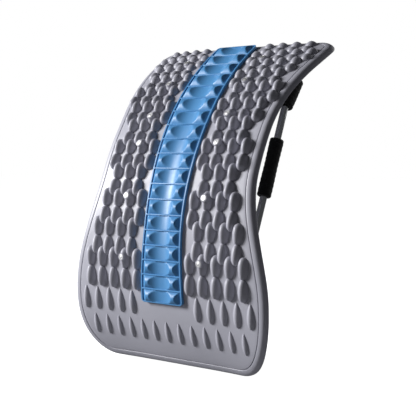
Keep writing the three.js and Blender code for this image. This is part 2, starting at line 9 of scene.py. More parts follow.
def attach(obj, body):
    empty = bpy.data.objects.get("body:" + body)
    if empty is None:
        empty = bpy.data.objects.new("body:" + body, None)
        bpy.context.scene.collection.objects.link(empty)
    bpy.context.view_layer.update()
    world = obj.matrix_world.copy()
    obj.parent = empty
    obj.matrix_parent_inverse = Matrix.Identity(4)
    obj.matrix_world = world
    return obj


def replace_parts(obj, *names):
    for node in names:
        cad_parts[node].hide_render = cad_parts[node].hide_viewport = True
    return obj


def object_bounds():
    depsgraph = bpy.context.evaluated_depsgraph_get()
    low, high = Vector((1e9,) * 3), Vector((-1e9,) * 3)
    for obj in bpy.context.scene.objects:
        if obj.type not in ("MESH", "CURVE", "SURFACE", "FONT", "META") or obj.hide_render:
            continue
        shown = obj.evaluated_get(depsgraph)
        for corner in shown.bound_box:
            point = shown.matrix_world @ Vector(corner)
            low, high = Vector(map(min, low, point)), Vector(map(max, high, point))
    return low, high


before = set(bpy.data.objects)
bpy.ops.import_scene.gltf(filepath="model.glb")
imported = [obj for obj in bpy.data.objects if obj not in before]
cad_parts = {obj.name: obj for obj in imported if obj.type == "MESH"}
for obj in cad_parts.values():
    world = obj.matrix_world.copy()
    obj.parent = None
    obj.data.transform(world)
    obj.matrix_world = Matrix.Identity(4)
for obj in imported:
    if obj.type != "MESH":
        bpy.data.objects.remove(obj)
cad_low, cad_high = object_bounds()

MM = 0.001
WELD = 1e-7                       # points closer than this, in metres, are one point
AXIS_RADIUS = 1e-3                # a turned body comes this near its axis
BEVEL_SHARE = 0.3                 # where a rounded edge has its middle step
LEAST_MITRE = 0.35

# ---- the board's dimensions, as in the CAD source, in millimetres ---------------------------------

START_LEAN = math.radians(-32)
ARCH = [(40, 15), (40, 11.5), (80, 15), (80, 17.5), (80, 17), (40, 9), (44, 5)]
BOARD_LENGTH = sum(length for length, _ in ARCH)
FOOT_HALF, WAIST_HALF, HEAD_HALF = 127.0, 102.5, 118.5
FOOT_TAPER_START, WAIST_START, WAIST_END = 80.0, 215.0, 265.0
FOOT_CORNER, HEAD_CORNER = (75.0, 44.0), (18.0, 18.0)  # reach along the board, reach across it
FLAT_HALF, CURL_AT = 40.0, 120.0
FOOT_CURL, FOOT_CURL_END, HEAD_CURL, HEAD_CURL_START = -6.0, 110.0, 14.0, 290.0
PLATE = 3.0
NUB_PITCH = 16.5
FOOT_ROW_NUBS = 13
FOOT_ROWS = [(43.5, 24.0, 7.8, 2.5), (73.0, 26.0, 9.8, 3.6)]  # centre, length, width, height
FIRST_PINCH, FIRST_PAIR_STEP, PAIR_STEP_LOSS = 108.5, 33.5, 1.6
PAIR_COLUMNS = [5, 4, 4, 3, 4, 3, 4, 4, 4, 4, 5, 4]
NUB_LENGTH_SHARE, NUB_WIDTH = 0.66, 12.5
FOOT_NUB_HEIGHT, NUB_HEIGHT, HEAD_NUB_HEIGHT = 6.2, 7.9, 4.0
INSERT_START, INSERT_LENGTH, INSERT_CELLS, INSERT_EVENNESS = 75.5, 322.0, 19, 0.85
INSERT_FOOT_HALF, INSERT_WAIST_HALF, INSERT_HEAD_HALF = 27.0, 24.5, 26.5
INSERT_WAIST_AT, INSERT_HEAD_AT = 160.0, 285.0
INSERT_CLEAR = 1.75
INNER_COLUMN = max(INSERT_FOOT_HALF, INSERT_WAIST_HALF, INSERT_HEAD_HALF) + INSERT_CLEAR + NUB_WIDTH / 2
MAGNET_RADIUS, MAGNET_THICK, MAGNET_PROUD, MAGNET_WALL = 3.0, 1.6, 0.5, 1.1
MAGNET_COLUMN = INNER_COLUMN + NUB_PITCH
MAGNET_NUBS = [(0, 1), (2, 1), (4, 1), (6, -1), (8, -1), (10, -1)]
GAP, RUNNING_GAP = 0.3, 0.35
TUBE_RADIUS, BEND_RADIUS, LEG_X = 3.75, 12.0, 88.0
PIVOT_AT, KNEE_TO_BAR, KNEE_FORWARD = 92.0, 57.5, 12.4
PAD = 4.0
BRACKET_X, BRACKET_WIDTH, BRACKET_WALL, BRACKET_FLANGE = 62.0, 16.0, 3.0, 2.5
BRACKET_LENGTH, BRACKET_SCREW_PITCH = 36.0, 26.0
CAP_WALL, CAP_LENGTH = 1.6, 7.0
RACK_X, RACK_WIDTH, RACK_FLANGE, RACK_SEAT = 69.0, 11.0, 3.0, 4.6
RACK_FLANGE_WIDTH, RACK_TALL = 20.0, 31.0
NOTCH_PITCH, NOTCHES, NOTCH_OF_BAR, NOTCH_START = 14.0, 3, 2, 347.0
NOTCH_SLANT, RACK_END, RACK_TOOTH_END = math.radians(24.5), 17.0, 7.5
SCREW_END, SCREW_HEAD_RADIUS, SCREW_HEAD, SCREW_RADIUS = 4.0, 2.9, 1.7, 1.4
SLEEVE_WALL = 3.75
LOWER_SLEEVE_START, LOWER_SLEEVE_LENGTH = 102.0, 63.0
UPPER_SLEEVE_START, UPPER_SLEEVE_LENGTH = 5.0, 36.0

PAD_FACE = PLATE + PAD
PIVOT_DEPTH = PAD_FACE + GAP + TUBE_RADIUS + RUNNING_GAP + BRACKET_WALL
BAR_DEPTH = PAD_FACE + GAP + RACK_FLANGE + RACK_SEAT + TUBE_RADIUS + RUNNING_GAP
RACK_FIRST = NOTCH_START - RACK_END
RACK_LAST = NOTCH_START + (NOTCHES - 1) * NOTCH_PITCH + RACK_END
RACK_MIDDLE = (RACK_FIRST + RACK_LAST) / 2
RACK_LENGTH = RACK_LAST - RACK_FIRST
SIDES = [(-1, "left"), (1, "right")]


# ---- small helpers --------------------------------------------------------------------------------

def smooth(start, end, value):
    t = min(1.0, max(0.0, (value - start) / (end - start)))
    return t * t * (3 - 2 * t)


def on_arch(along):
    """(y, z, lean) of the front face at a distance along the board."""
    lean = START_LEAN
    y, z = -PLATE / 2 * math.cos(lean), PLATE / 2 * math.sin(lean)
    left = along
    for index, (length, turn) in enumerate(ARCH):
        run = left if index == len(ARCH) - 1 else min(left, length)
        curve = math.radians(turn) / length
        after = lean + curve * run
        y += (math.cos(lean) - math.cos(after)) / curve
        z += (math.sin(after) - math.sin(lean)) / curve
        lean = after
        left -= run
        if left <= 0:
            break
    return y, z, lean


def curl(along, across):
    """How far back the board stands beside its flat middle."""
    beside = max(0.0, abs(across) - FLAT_HALF) / (CURL_AT - FLAT_HALF)
    foot = FOOT_CURL * (1 - smooth(0, FOOT_CURL_END, along))
    head = HEAD_CURL * smooth(HEAD_CURL_START, BOARD_LENGTH, along)
    return (foot + head) * beside ** 2


def on_board(along, across, up):
    """A point in millimetres from its place along, across and up from the board's front face."""
    y, z, lean = on_arch(along)
    return Vector((across, y + curl(along, across) - up * math.cos(lean), z + up * math.sin(lean)))


def board_frame(along, across):
    """A flat frame on the front face: X across, Y up the board, Z out of the front."""
    lean = on_arch(along)[2]
    return Matrix.Translation(on_board(along, across, 0)) @ Matrix.Rotation(math.pi / 2 - lean, 4, "X")


class Body:
    """Points in millimetres and faces, gathered into one mesh piece."""

    def __init__(self):
        self.points, self.faces = [], []

    def add(self, points, faces, matrix=None):
        base = len(self.points)
        self.points += [matrix @ Vector(p) if matrix else Vector(p) for p in points]
        self.faces += [[base + i for i in face] for face in faces]

    def grid(self, rows, closed=False, caps=False):
        """Quads over rows of equal length.

        closed joins each row's ends, caps fills the first and the last row.
        """
        count = len(rows[0])
        faces = []
        for r in range(len(rows) - 1):
            for c in range(count if closed else count - 1):
                d = (c + 1) % count
                faces.append([r * count + c, r * count + d, (r + 1) * count + d, (r + 1) * count + c])
        if caps:
            faces.append(list(range(count))[::-1])
            faces.append([(len(rows) - 1) * count + i for i in range(count)])
        self.add([p for row in rows for p in row], faces)

    def piece(self, name, body, slot, material, sharp=35):
        mesh = bpy.data.meshes.new(name)
        mesh.from_pydata([p * MM for p in self.points], [], self.faces)
        work = bmesh.new()
        work.from_mesh(mesh)
        bmesh.ops.remove_doubles(work, verts=work.verts, dist=WELD)
        bmesh.ops.dissolve_degenerate(work, edges=work.edges, dist=WELD)
        bmesh.ops.recalc_face_normals(work, faces=work.faces)
        work.to_mesh(mesh)
        work.free()
        for polygon in mesh.polygons:
            polygon.use_smooth = True
        mesh.set_sharp_from_angle(angle=math.radians(sharp))
        mesh.materials.append(material)
        made = bpy.data.objects.new(name, mesh)
        bpy.context.scene.collection.objects.link(made)
        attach(made, body)
        return made


def offsets(radius, height, section):
    """A section's (radius, height) points, measured from a given radius and height."""
    return [(radius + r, height + h) for r, h in section]


def circle(radius, sides):
    return [(radius * math.cos(2 * math.pi * i / sides), radius * math.sin(2 * math.pi * i / sides))
            for i in range(sides)]


def lathe(body, profile, matrix, sides=48):
    """A turned body from (radius, height) points about the matrix's own Z, where they start and end."""
    rows = []
    for radius, height in profile:
        rows.append([matrix @ Vector((x, y, height)) for x, y in circle(max(radius, AXIS_RADIUS), sides)])
    body.grid(rows, closed=True, caps=True)


def extrude(body, outline, depth, matrix, edge=0.5):
    """A flat outline made depth thick about its own plane, its rims cut back by a small round."""
    bevel = edge * BEVEL_SHARE
    steps = [(-depth / 2, edge), (-depth / 2 + bevel, bevel), (-depth / 2 + edge, 0)]
    steps += [(-h, inset) for h, inset in reversed(steps)]
    rows = [[matrix @ Vector((x, y, height)) for x, y in inset_outline(outline, inset)]
            for height, inset in steps]
    body.grid(rows, closed=True, caps=True)


def inset_outline(outline, distance):
    """The outline moved inward by a distance. The outline runs counter-clockwise."""
    if distance == 0:
        return list(outline)
    count = len(outline)
    moved = []
    for i in range(count):
        here, back, on = (Vector(outline[k % count]) for k in (i, i - 1, i + 1))
        first, second = (here - back).normalized(), (on - here).normalized()
        normal = Vector((-first.y, first.x)) + Vector((-second.y, second.x))
        share = max(LEAST_MITRE, 1 + first.dot(second)) / 2
        moved.append(here + normal / 2 / share * distance)
    return moved


def rounded_box(width, length, corner, steps=6):
    """Counter-clockwise outline of a rectangle with round corners."""
    points = []
    for quarter, (sx, sy) in enumerate([(1, 1), (-1, 1), (-1, -1), (1, -1)]):
        for k in range(steps + 1):
            turn = math.pi / 2 * (quarter + k / steps)
            points.append((sx * (width / 2 - corner) + corner * math.cos(turn),
                           sy * (length / 2 - corner) + corner * math.sin(turn)))
    return points


# ---- materials ------------------------------------------------------------------------------------

NOISE_ROUGHNESS = 0.55


class Look:
    """A node material: Principled BSDF fed by noise in the object's own coordinates."""

    def __init__(self, name, **sockets):
        self.material = bpy.data.materials.new(name)
        self.material.use_nodes = True
        self.nodes, self.links = self.material.node_tree.nodes, self.material.node_tree.links
        self.shader = self.nodes["Principled BSDF"]
        for socket, value in sockets.items():
            self.shader.inputs[socket.replace("_", " ")].default_value = value
        self.place = self.nodes.new("ShaderNodeTexCoord").outputs["Object"]
        self.height = None

    def noise(self, scale, detail):
        node = self.nodes.new("ShaderNodeTexNoise")
        node.inputs["Scale"].default_value = scale
        node.inputs["Detail"].default_value = detail
        node.inputs["Roughness"].default_value = NOISE_ROUGHNESS
        self.links.new(self.place, node.inputs["Vector"])
        return node.outputs["Fac"]

    def cells(self, scale):
        node = self.nodes.new("ShaderNodeTexVoronoi")
        node.inputs["Scale"].default_value = scale
        self.links.new(self.place, node.inputs["Vector"])
        return node.outputs["Distance"]

    def ramp(self, value, low, high, socket, start=0.3, end=0.7):
        """Feeds a socket of the shader from a value, spread between two greys or two colours."""
        node = self.nodes.new("ShaderNodeValToRGB")
        for element, position, colour in zip(node.color_ramp.elements, (start, end), (low, high)):
            element.position = position
            element.color = (*colour, 1) if isinstance(colour, tuple) else (colour, colour, colour, 1)
        self.links.new(value, node.inputs["Fac"])
        self.links.new(node.outputs["Color"], self.shader.inputs[socket])

    def bump(self, height, strength, distance):
        node = self.nodes.new("ShaderNodeBump")
        node.inputs["Strength"].default_value = strength
        node.inputs["Distance"].default_value = distance
        self.links.new(height, node.inputs["Height"])
        if self.height:
            self.links.new(self.height, node.inputs["Normal"])
        self.height = node.outputs["Normal"]
        self.links.new(self.height, self.shader.inputs["Normal"])


def moulded_grey():
    look = Look("grey_moulded_plastic", Specular_IOR_Level=0.35)
    look.ramp(look.noise(9, 4), (0.325, 0.325, 0.372), (0.36, 0.36, 0.41), "Base Color")
    look.ramp(look.noise(60, 3), 0.36, 0.46, "Roughness")
    look.bump(look.noise(1300, 2), 0.12, 0.0003)
    look.bump(look.noise(35, 2), 0.05, 0.001)
    return look.material


def clear_blue():
    look = Look("blue_moulded_plastic", Specular_IOR_Level=0.32, Coat_Weight=0.06, Coat_Roughness=0.35)
    look.ramp(look.noise(25, 3), (0.055, 0.20, 0.42), (0.075, 0.24, 0.48), "Base Color")
    look.ramp(look.noise(120, 3), 0.38, 0.46, "Roughness")
    look.bump(look.noise(700, 2), 0.05, 0.0003)
    return look.material


def closed_foam():
    look = Look("black_closed_foam", Specular_IOR_Level=0.25, Sheen_Weight=0.15, Sheen_Roughness=0.5)
    look.ramp(look.cells(900), 0.006, 0.02, "Base Color", 0.0, 0.6)
    look.ramp(look.noise(300, 3), 0.82, 0.95, "Roughness")
    look.bump(look.cells(900), 0.5, 0.0006)
    look.bump(look.noise(120, 3), 0.5, 0.0015)
    return look.material


def polished_chrome():
    look = Look("polished_chrome", Metallic=1.0)
    look.ramp(look.noise(40, 3), (0.74, 0.75, 0.77), (0.82, 0.83, 0.85), "Base Color")
    look.ramp(look.noise(220, 4), 0.07, 0.14, "Roughness")
    look.bump(look.noise(500, 2), 0.03, 0.0003)
    return look.material


def plated_zinc(name, dark, light, low, high):
    look = Look(name, Metallic=1.0)
    look.ramp(look.noise(350, 3), dark, light, "Base Color")
    look.ramp(look.noise(600, 3), low, high, "Roughness")
    look.bump(look.noise(1500, 2), 0.08, 0.0003)
    return look.material


def black_nylon():
    look = Look("black_nylon", Specular_IOR_Level=0.45)
    look.ramp(look.noise(50, 3), (0.012, 0.012, 0.014), (0.022, 0.022, 0.025), "Base Color")
    look.ramp(look.noise(150, 3), 0.42, 0.56, "Roughness")
    look.bump(look.noise(1500, 2), 0.15, 0.0003)
    return look.material


GREY, BLUE, FOAM = moulded_grey(), clear_blue(), closed_foam()
CHROME, NYLON = polished_chrome(), black_nylon()
ZINC = plated_zinc("zinc_plating", (0.5, 0.51, 0.53), (0.64, 0.65, 0.67), 0.26, 0.4)
MAGNET_METAL = plated_zinc("nickel_plating", (0.42, 0.42, 0.43), (0.5, 0.5, 0.51), 0.5, 0.62)


# ---- board shell ----------------------------------------------------------------------------------

ACROSS_STEPS, SIDE_STEPS = 30, 84


def half_width(along):
    foot = (FOOT_HALF - WAIST_HALF) * (1 - smooth(FOOT_TAPER_START, WAIST_START, along))
    head = (HEAD_HALF - WAIST_HALF) * smooth(WAIST_END, BOARD_LENGTH, along)

    def corner(size, distance):
        reach, wide = size
        return 0 if distance >= reach else wide * (1 - math.sqrt(1 - (1 - distance / reach) ** 2))
    return WAIST_HALF + foot + head - corner(FOOT_CORNER, along) - corner(HEAD_CORNER, BOARD_LENGTH - along)


def side_places():
    """Places along the right-hand edge, closer together round the corners."""
    foot, head = FOOT_CORNER[0], HEAD_CORNER[0]
    places = [foot * (1 - math.cos(math.radians(a))) for a in range(5, 91, 5)]
    middle = BOARD_LENGTH - foot - head
    places += [foot + middle * k / SIDE_STEPS for k in range(1, SIDE_STEPS)]
    places += [BOARD_LENGTH - head * (1 - math.cos(math.radians(a))) for a in range(90, 5, -6)]
    return places


# The rim from the field of nubs outwards and round to the back: (distance inside the outline, up)
RIM_SECTION = [
    (12.5, 0), (9.5, 0), (9.1, -0.06), (8.95, -0.5), (8.75, -0.85),            # into the groove
    (8.4, -0.85), (8.2, -0.45), (8.05, -0.02), (7.7, 0.05), (6.5, 0),          # out of it
    (5.2, -0.12), (4.2, -0.36), (3.2, -0.8), (2.3, -1.45), (1.5, -2.25),       # round the shoulder
    (0.85, -3.15), (0.4, -4), (0.12, -4.7), (0, -5.35), (0.1, -5.75),          # down the wall
    (0.5, -6), (1.9, -6), (2.35, -5.8), (2.5, -5.3), (2.6, -3.6),              # round its lip
    (2.9, -3.15), (3.5, -3), (12.5, -3),                                       # along the back
]
FOOT_GROOVE_SHARE = 0.35          # the groove runs this much further in along the foot


def rim_outline():
    """The board's outline, counter-clockwise in (across, along), with the inward normal at each point."""
    foot, head = half_width(0), half_width(BOARD_LENGTH)
    bottom = [(-foot + 2 * foot * k / ACROSS_STEPS, 0.0) for k in range(ACROSS_STEPS + 1)]
    right = [(half_width(s), s) for s in side_places()]
    top = [(head - 2 * head * k / ACROSS_STEPS, BOARD_LENGTH) for k in range(ACROSS_STEPS + 1)]
    left = [(-u, s) for u, s in reversed(right)]
    points = bottom + right + top + left
    normals = []
    count = len(points)
    for i, (u, s) in enumerate(points):
        (u0, s0), (u1, s1) = points[i - 1], points[(i + 1) % count]
        along = Vector((u1 - u0, s1 - s0)).normalized()
        normals.append((-along.y, along.x))
    for i in range(ACROSS_STEPS + 1):
        normals[i] = (0.0, 1.0)
        normals[len(bottom) + len(right) + i] = (0.0, -1.0)
    return points, normals, len(right)


def board_shell():
    shell = Body()
    points, normals, side_count = rim_outline()

    def inward(point, normal, distance):
        (u, s), (nu, ns) = point, normal
        distance *= 1 + FOOT_GROOVE_SHARE * max(0.0, ns) ** 2
        return u + nu * distance, s + ns * distance

    def ring(distance, up):
        places = [inward(point, normal, distance) for point, normal in zip(points, normals)]
        return [on_board(s, u, up) for u, s in places]
    shell.grid([ring(distance, up) for distance, up in RIM_SECTION], closed=True)
    inset = RIM_SECTION[0][0]
    for up in (0, -PLATE):
        rows = []
        last = len(points) - 1
        for j in range(side_count + 2):
            if j == 0:
                row = [inward(points[k], normals[k], inset) for k in range(ACROSS_STEPS + 1)]
            elif j == side_count + 1:
                start = ACROSS_STEPS + 1 + side_count
                ends = range(start + ACROSS_STEPS, start - 1, -1)
                row = [inward(points[k], normals[k], inset) for k in ends]
            else:
                k = ACROSS_STEPS + j
                u, s = inward(points[k], normals[k], inset)
                row = [(-u + 2 * u * c / ACROSS_STEPS, s) for c in range(ACROSS_STEPS + 1)]
            rows.append([on_board(s, u, up) for u, s in row])
        shell.grid(rows)
    return shell


# ---- nubs -----------------------------------------------------------------------------------------

# Where a nub's points stand, as shares of its half width and of its length
NUB_SPREAD = [-1, -0.94, -0.84, -0.7, -0.54, -0.36, -0.18, -0.06,
              0.06, 0.18, 0.36, 0.54, 0.7, 0.84, 0.94, 1]
NUB_PLACES = [0, 0.025, 0.07, 0.14, 0.23, 0.34, 0.46, 0.58, 0.69, 0.79, 0.87, 0.93, 0.97, 0.99, 1]
FULLEST, END_POWER = 0.58, 2.3    # where a nub is fullest, and how it closes beyond that
NUB_ROUND, NUB_DOME = 1.8, 0.8    # how round a nub is across
NUB_SINK, NUB_ROOT, ROOT_SHARE = 0.05, 0.8, 0.9    # how its edges and its root go into the board
PAIRED, POINTED = (2.0, 0.5), (1.6, 0.7)   # how a nub fills out from its narrow end
# The narrow end's share of a nub's width and of its height, and the least share anywhere
PAIRED_LEAST, POINTED_LEAST = (0.3, 0.3), (0.03, 0.06)
LEAST_WIDE, LEAST_TALL = 0.03, 0.02


def nub_share(t, least, fill):
    """How full a nub is at a share t of its length from its narrow end: from least, to 1, to nothing."""
    if t <= FULLEST:
        power, root = fill
        return least + (1 - least) * max(0.0, 1 - ((FULLEST - t) / FULLEST) ** power) ** root
    left = (t - FULLEST) / (1 - FULLEST)
    return math.sqrt(max(0.0, 1 - left ** END_POWER))


def nub_row(along, across, width, height):
    heights = [height * max(0.0, 1 - abs(q) ** NUB_ROUND) ** NUB_DOME - NUB_SINK for q in NUB_SPREAD]
    row = [on_board(along, across + width / 2 * q, up) for q, up in zip(NUB_SPREAD, heights)]
    below = [on_board(along, across + width / 2 * q, -NUB_ROOT) for q in (ROOT_SHARE, -ROOT_SHARE)]
    return row + below


def nub(field, start, length, across, width, height, fill, least, ends=1):
    """One nub from its narrow end, or with ends 2 a pair that meet at it."""
    places = NUB_PLACES if ends == 1 else [-t for t in reversed(NUB_PLACES[1:])] + NUB_PLACES
    rows = []
    for t in places:
        wide = width * max(LEAST_WIDE, nub_share(abs(t), least[0], fill))
        tall = height * max(LEAST_TALL, nub_share(abs(t), least[1], fill))
        rows.append(nub_row(start + length * t, across, wide, tall))
    field.grid(rows, closed=True, caps=True)


def pairs():
    """(pinch, columns, nub length, first column, height) for each row of paired nubs."""
    pinch = FIRST_PINCH
    found = []
    for index, columns in enumerate(PAIR_COLUMNS):
        step = FIRST_PAIR_STEP - PAIR_STEP_LOSS * index
        rise = FOOT_NUB_HEIGHT + (NUB_HEIGHT - FOOT_NUB_HEIGHT) * smooth(FIRST_PINCH, WAIST_START, pinch)
        fall = (NUB_HEIGHT - HEAD_NUB_HEIGHT) * smooth(WAIST_END, BOARD_LENGTH, pinch)
        first = INNER_COLUMN + (NUB_PITCH / 2 if index % 2 else 0)
        found.append((pinch, columns, step * NUB_LENGTH_SHARE, first, rise - fall))
        pinch += step
    return found


def nub_field():
    field = Body()
    (low_at, low_long, low_wide, low_tall), (next_at, next_long, next_wide, next_tall) = FOOT_ROWS
    for i in range(FOOT_ROW_NUBS):
        across = (i - (FOOT_ROW_NUBS - 1) / 2) * NUB_PITCH
        nub(field, low_at + low_long / 2, -low_long, across, low_wide, low_tall, POINTED, POINTED_LEAST)
    for side, _ in SIDES:
        for i in range(PAIR_COLUMNS[0]):
            across = side * (INNER_COLUMN + NUB_PITCH / 2 + i * NUB_PITCH)
            nub(field, next_at + next_long / 2, -next_long, across, next_wide, next_tall,
                POINTED, POINTED_LEAST)
        for pinch, columns, length, first, height in pairs():
            for i in range(columns):
                across = side * (first + i * NUB_PITCH)
                nub(field, pinch, length, across, NUB_WIDTH, height, PAIRED, PAIRED_LEAST, 2)
    return field


MAGNET_PLACE = 0.55               # a magnet's place on its nub, as a share from the pinch
CUP_START = 0.5
CUP_FOOT, CUP_OUTSIDE = 0.5, [(0.1, -1.6), (0, -0.5), (-0.2, -0.12), (-0.5, 0)]
CUP_INSIDE = [(0.25, -0.04), (0, -0.3)]


def magnet_seats():
    """(place along the board, height of the cup's floor) for each magnet of one side."""
    rows = pairs()
    return [(rows[i][0] + end * rows[i][2] * MAGNET_PLACE, rows[i][4] - MAGNET_THICK + MAGNET_PROUD)
            for i, end in MAGNET_NUBS]


def magnet_sockets(field):
    """Round cups on the nubs that hold the magnets."""
    outer, inner = MAGNET_RADIUS + MAGNET_WALL, MAGNET_RADIUS + GAP / 2
    for side, _ in SIDES:
        for along, floor in magnet_seats():
            top = floor + MAGNET_THICK
            profile = [(0, CUP_START), (outer + CUP_FOOT, CUP_START)]
            profile += offsets(outer, top, CUP_OUTSIDE) + offsets(inner, top, CUP_INSIDE)
            profile += [(inner, floor), (0, floor)]
            lathe(field, profile, board_frame(along, side * MAGNET_COLUMN), 28)


# A back rib from side to side: (place across it, height over the board's back)
BACK_RIB = [(-1.3, 0.4), (-0.95, -1.15), (-0.5, -1.45), (0.5, -1.45), (0.95, -1.15), (1.3, 0.4)]
LONG_RIBS, LONG_RIB_STEPS = [(12, 381, 30), (14, 375, 88)], 60    # start, length, how far off the middle
CROSS_RIBS, CROSS_RIB_MARGIN, CROSS_RIB_STEPS = (40, 140, 175, 210, 245, 280, 310), 7, 24


def back_ribs(shell):
    """Low stiffening ribs moulded on the back, between the pads."""
    def rib(path):
        rows = []
        for along, across, dir_s, dir_u in path:
            rows.append([on_board(along + dir_s * v, across + dir_u * v, up - PLATE) for v, up in BACK_RIB])
        shell.grid(rows, closed=True, caps=True)
    for start, length, beside in LONG_RIBS:
        for across in (-beside, beside):
            rib([(start + length * k / LONG_RIB_STEPS, across, 0, 1) for k in range(LONG_RIB_STEPS + 1)])
    for along in CROSS_RIBS:
        reach = half_width(along) - CROSS_RIB_MARGIN
        places = [-reach + 2 * reach * k / CROSS_RIB_STEPS for k in range(CROSS_RIB_STEPS + 1)]
        rib([(along, across, 1, 0) for across in places])


PAD_MARGIN, PAD_CORNER = 4, 2.5
PAD_EDGE = [(0.8, 0), (0.25, 0.25), (0, 0.8)]      # (how far short of the pad's face, inset)


def mounting_pads(shell):
    """Raised flats on the back, under the brackets and the racks."""
    for side, _ in SIDES:
        for along, across, width, length in (
                (PIVOT_AT, side * BRACKET_X, BRACKET_WIDTH + PAD_MARGIN, BRACKET_LENGTH + PAD_MARGIN),
                (RACK_MIDDLE, side * RACK_X, RACK_FLANGE_WIDTH + PAD_MARGIN, RACK_LENGTH + PAD_MARGIN)):
            outline = rounded_box(width, length, PAD_CORNER)
            face = board_frame(along, across)
            root = [on_board(along + v, across + u, -PLATE / 2) for u, v in outline]
            rings = [[face @ Vector((u, v, -(PAD_FACE - short))) for u, v in inset_outline(outline, inset)]
                     for short, inset in PAD_EDGE]
            shell.grid([root] + rings, closed=True, caps=True)


shell = board_shell()
mounting_pads(shell)
back_ribs(shell)
board_piece = shell.piece("board_shell", "board", "board", GREY)
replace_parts(board_piece, "board_panel")
field = nub_field()
magnet_sockets(field)
field.piece("nub_field", "board", "board", GREY, sharp=50)


# ---- blue spine insert ----------------------------------------------------------------------------

RIM_TOP, RIB_TOP, TROUGH, GABLE_FOOT, GABLE_TOP, SADDLE_TOP = 3.6, 3.8, 2.2, 2.9, 6.9, 8.6
CREST_AT, FLANK_FOOT = 0.68, 2.2
INSERT_CORNER = 4.0
RIM_IN = 1.5                      # width of the flat rim
RIB_HALF, RIB_SECTION = 1.05, [(-0.75, -0.35), (-0.4, 0), (0.4, 0), (0.75, -0.35)]
RIB_SLOPE, RIM_REACH = 0.5, 0.2
TROUGH_POWER, FLANK_POWER, GABLE_POWER = 2.3, 1.5, 0.85
CELL_STEPS, STRIP_STEPS = 14, 36
STRIP_ENDS, RIM_DROP = [0, 0.35, 2.0], 0.5         # where the end rows stand, and how low the rim starts


def insert_half(along):
    foot = (INSERT_FOOT_HALF - INSERT_WAIST_HALF) * (1 - smooth(INSERT_START, INSERT_WAIST_AT, along))
    head = (INSERT_HEAD_HALF - INSERT_WAIST_HALF) * smooth(INSERT_WAIST_AT, INSERT_HEAD_AT, along)
    half = INSERT_WAIST_HALF + foot + head
    for distance in (along - INSERT_START, INSERT_START + INSERT_LENGTH - along):
        if distance < INSERT_CORNER:
            chord = INSERT_CORNER ** 2 - (INSERT_CORNER - distance) ** 2
            half -= INSERT_CORNER - math.sqrt(max(0.0, chord))
    return half


def cell_edge(index):
    t = index / INSERT_CELLS
    return INSERT_START + INSERT_LENGTH * (INSERT_EVENNESS * t + (1 - INSERT_EVENNESS) * t * t)


def saddle(x):
    """Height across a cell: a trough in the middle, crests either side, and hollow flanks."""
    x = abs(x)
    if x < CREST_AT:
        return TROUGH + (SADDLE_TOP - TROUGH) * (x / CREST_AT) ** TROUGH_POWER
    left = (1 - x) / (1 - CREST_AT)
    return FLANK_FOOT + (SADDLE_TOP - FLANK_FOOT) * left ** FLANK_POWER


def insert_rows():
    """(place, kind) for each row of points: a rib's height, or the share of a cell less 2."""
    rows = []
    for cell in range(INSERT_CELLS):
        start, end = cell_edge(cell), cell_edge(cell + 1)
        if cell:
            rows += offsets(start, RIB_TOP, RIB_SECTION)
        for k in range(CELL_STEPS + 1):
            place = start + RIB_HALF + (end - start - 2 * RIB_HALF) * k / CELL_STEPS
            rows.append((place, k / CELL_STEPS - 2))
    return rows


def insert_height(kind, x, half):
    inside = (1 - abs(x)) * half - RIM_IN
    if inside <= 0:
        return RIM_TOP
    if kind > 0:                  # on a rib: its own height, level with the rim at the ends
        return min(kind, RIM_TOP + inside * RIB_SLOPE) if kind > RIM_TOP else kind
    share = kind + 2
    gable = GABLE_FOOT + (GABLE_TOP - GABLE_FOOT) * math.sin(math.pi * share) ** GABLE_POWER
    return min(gable, saddle(x * half / (half - RIM_IN)) if inside > RIM_REACH else gable)


def spine_insert():
    strip = Body()
    across = [k / STRIP_STEPS for k in range(-STRIP_STEPS, STRIP_STEPS + 1)]
    rows = []

    def ring(place, heights, half):
        top = [on_board(place, x * half, h) for x, h in zip(across, heights)]
        wall = [on_board(place, half, RIM_TOP - RIM_DROP), on_board(place, half, GAP),
                on_board(place, -half, GAP), on_board(place, -half, RIM_TOP - RIM_DROP)]
        rows.append(top + wall)

    def end_ring(place, distance):
        height = RIM_TOP - (RIM_DROP if distance == 0 else 0)
        ring(place, [height] * len(across), insert_half(place))
    for distance in STRIP_ENDS:
        end_ring(INSERT_START + distance, distance)
    for place, kind in insert_rows()[1:-1]:
        half = insert_half(place)
        ring(place, [insert_height(kind, x, half) for x in across], half)
    for distance in reversed(STRIP_ENDS):
        end_ring(INSERT_START + INSERT_LENGTH - distance, distance)
    strip.grid(rows, closed=True, caps=True)
    return strip.piece("spine_strip", "board", "insert", BLUE, sharp=32)


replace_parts(spine_insert(), "spine_insert")


# ---- magnets --------------------------------------------------------------------------------------

DISC_RIM = [(0, -0.3), (-0.12, -0.08), (-0.4, 0), (-0.9, -0.05), (-1.15, -0.3), (-1.4, -0.25)]
DISC_DOME = [(1.2, -0.1), (0.6, -0.02), (0, 0)]

for side, word in SIDES:
    for index, (along, floor) in enumerate(magnet_seats()):
        disc = Body()
        low = floor + GAP
        top = low + MAGNET_THICK
        profile = [(0, low), (MAGNET_RADIUS, low)]
        profile += offsets(MAGNET_RADIUS, top, DISC_RIM) + offsets(0, top, DISC_DOME)
        lathe(disc, profile, board_frame(along, side * MAGNET_COLUMN), 32)
        made = disc.piece(f"magnet_disc_{word}_{index + 1}", "board", "magnet", MAGNET_METAL)
        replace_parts(made, f"magnet_{word}_{index + 1}")


# ---- frame tube and sleeves -----------------------------------------------------------------------

